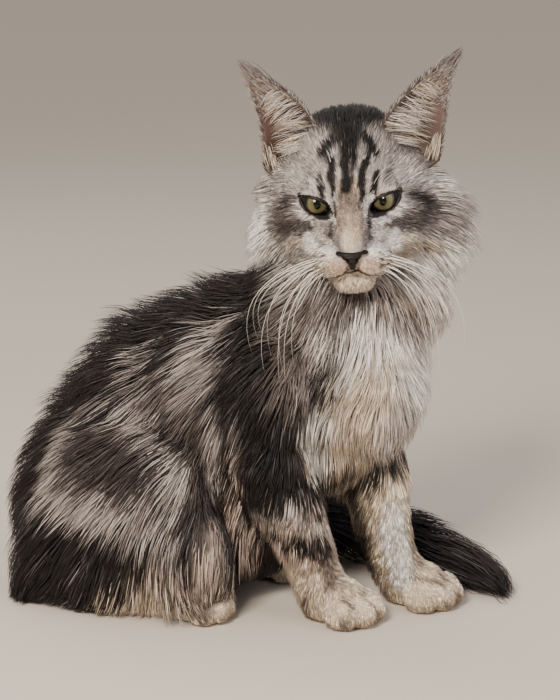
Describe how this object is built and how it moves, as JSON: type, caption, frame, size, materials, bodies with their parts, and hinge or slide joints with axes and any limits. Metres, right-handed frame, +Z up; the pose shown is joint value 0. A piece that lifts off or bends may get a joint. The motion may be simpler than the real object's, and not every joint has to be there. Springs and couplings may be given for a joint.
{
  "type": "cat model",
  "caption": "Life-size still model of a young longhaired silver tabby cat that sits with its head turned and its bushy tail laid round one side.",
  "frame": {"origin": "middle of the footprint of the whole cat, on the floor it sits on", "axes": "+Z up, the chest faces -Y and the cat's left side is towards +X; the head is turned to the cat's right, towards -X"},
  "size_m": [0.236, 0.3292, 0.3605],
  "materials": {
    "coat": "matte",
    "face": "matte",
    "bib": "matte",
    "dark_coat": "matte",
    "paw": "matte",
    "ear": "matte",
    "eye": "gloss"
  },
  "bodies": {
    "root": {"ear_left": "ear", "ear_right": "ear", "eye_left": "eye", "eye_right": "eye", "foreleg_left": "coat", "foreleg_right": "coat", "forepaw_left": "paw", "forepaw_right": "paw", "head": "face", "hindfoot_left": "paw", "hindfoot_right": "paw", "hindleg_left": "coat", "hindleg_right": "coat", "neck": "bib", "tail_middle": "dark_coat", "tail_root": "dark_coat", "tail_tip": "dark_coat", "torso": "coat"}
  },
  "joints": []
}
